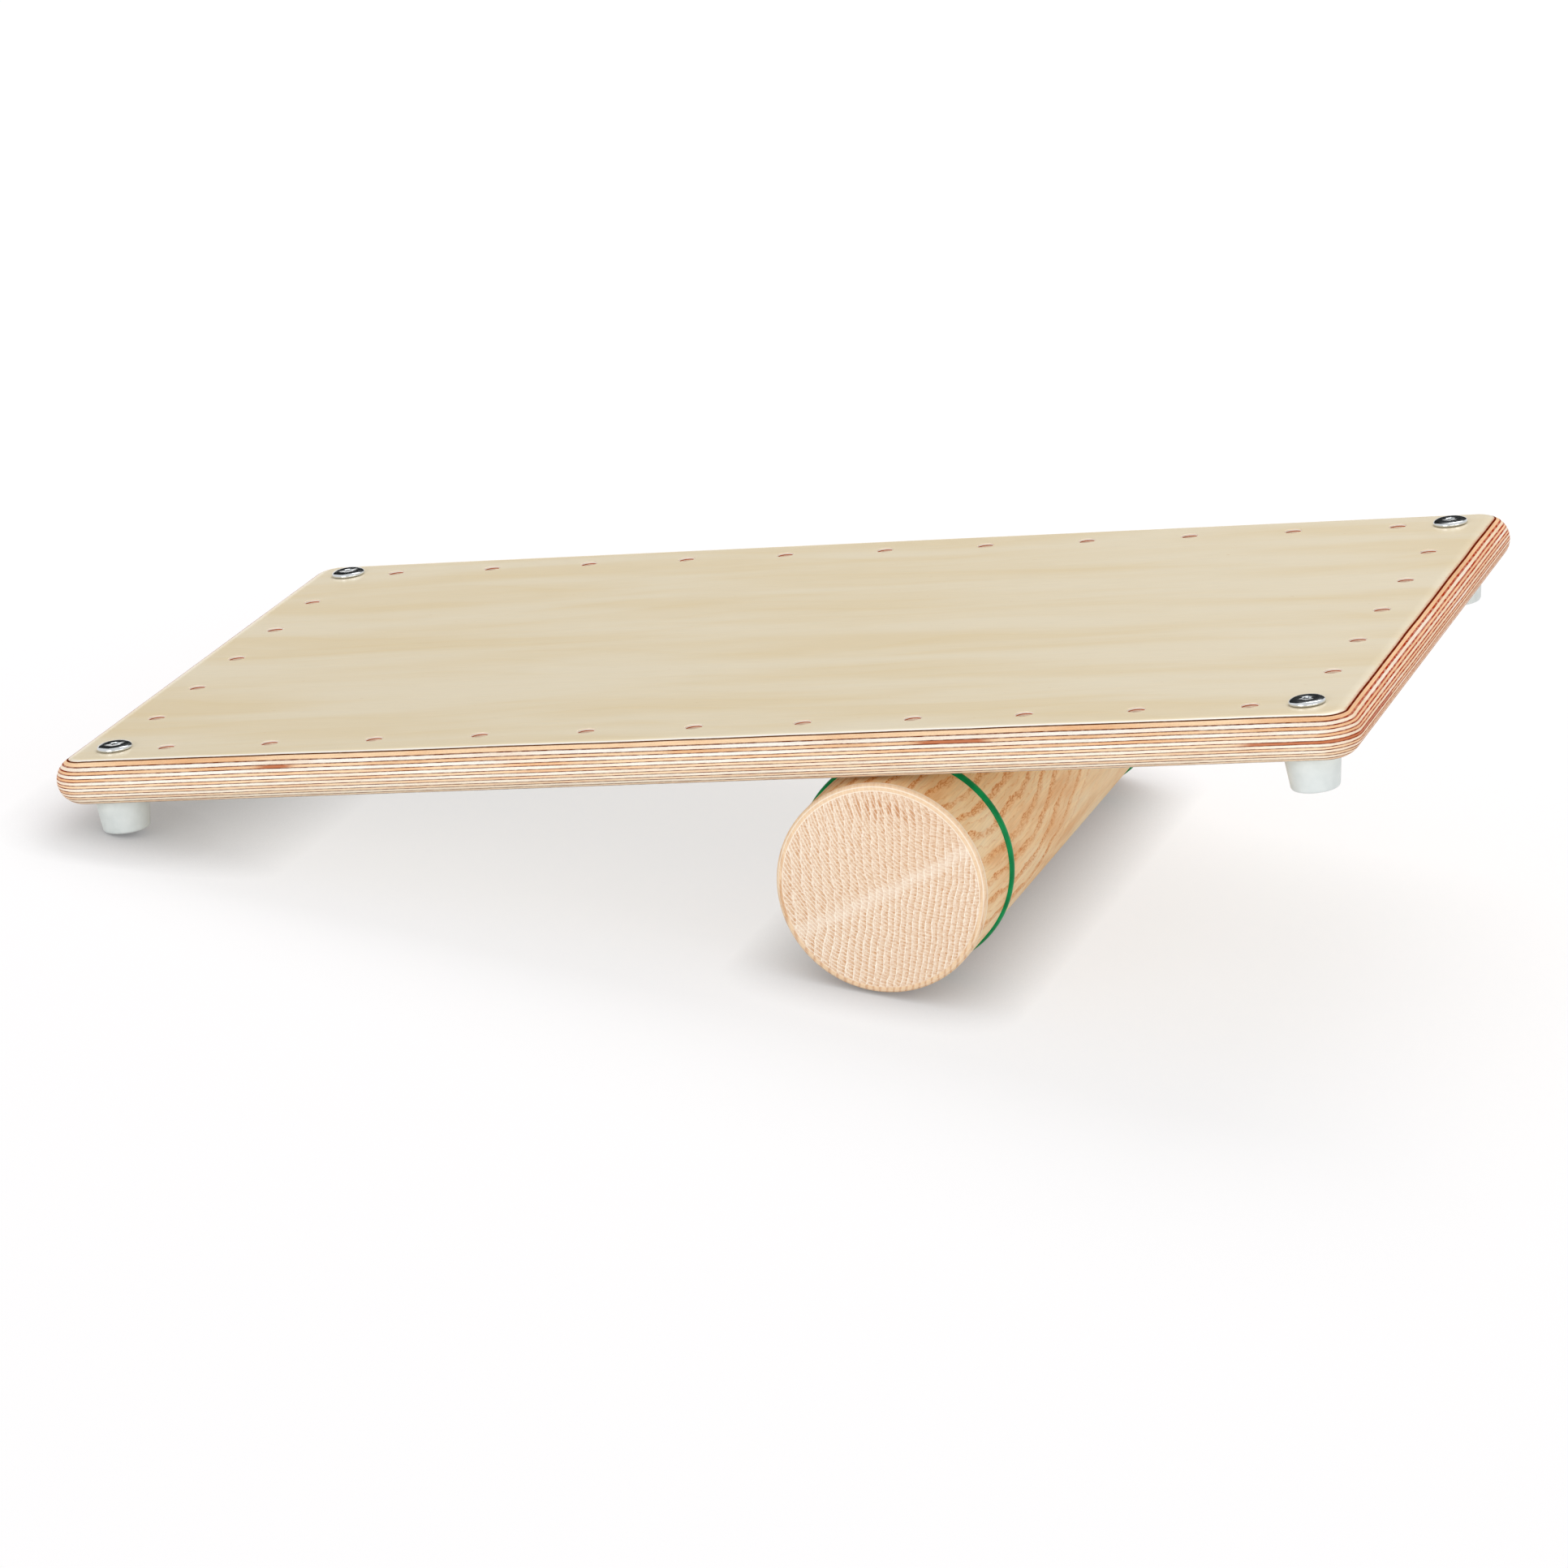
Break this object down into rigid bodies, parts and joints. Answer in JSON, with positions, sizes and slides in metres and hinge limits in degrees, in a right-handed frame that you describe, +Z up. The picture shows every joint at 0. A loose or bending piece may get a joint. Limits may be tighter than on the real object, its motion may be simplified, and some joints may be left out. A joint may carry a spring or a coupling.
{
  "type": "balance roller board",
  "caption": "Plywood balance board with rounded edges, a rim of drilled holes, rubber feet and corner bolts, tipping over a loose wooden roller with rubber grip rings.",
  "frame": {"origin": "on the floor under the roller's axis, at the middle of the board's width, in the rest pose with the left feet on the floor", "axes": "+X along the board towards its raised end, +Y across the board away from the front edge and along the roller's axis, +Z up"},
  "size_m": [0.5857, 0.3535, 0.1637],
  "materials": {
    "lacquered_birch": "satin lacquered birch plywood, plies showing at the edge",
    "nickel_plated_steel": "polished nickel plate",
    "light_grey_rubber": "matt moulded rubber, light grey",
    "zinc_plated_steel": "plain zinc plate",
    "sanded_ash": "turned and sanded ash, open pores, end grain on the faces",
    "green_rubber": "satin green rubber"
  },
  "bodies": {
    "roller": {"roller_core": "sanded_ash", "grip_ring_near": "green_rubber", "grip_ring_far": "green_rubber"},
    "deck": {"board": "lacquered_birch", "bolt_left_near": "nickel_plated_steel", "bolt_left_far": "nickel_plated_steel", "bolt_right_near": "nickel_plated_steel", "bolt_right_far": "nickel_plated_steel", "foot_left_near": "light_grey_rubber", "foot_left_far": "light_grey_rubber", "foot_right_near": "light_grey_rubber", "foot_right_far": "light_grey_rubber", "washer_left_near": "zinc_plated_steel", "washer_left_far": "zinc_plated_steel", "washer_right_near": "zinc_plated_steel", "washer_right_far": "zinc_plated_steel", "nut_left_near": "zinc_plated_steel", "nut_left_far": "zinc_plated_steel", "nut_right_near": "zinc_plated_steel", "nut_right_far": "zinc_plated_steel"}
  },
  "joints": [
    {"name": "board_rock", "type": "hinge", "parent": "roller", "child": "deck", "pos_m": [0, 0, 0.049], "axis": [0, 1, 0], "range_deg": [0, 35.9]}
  ]
}
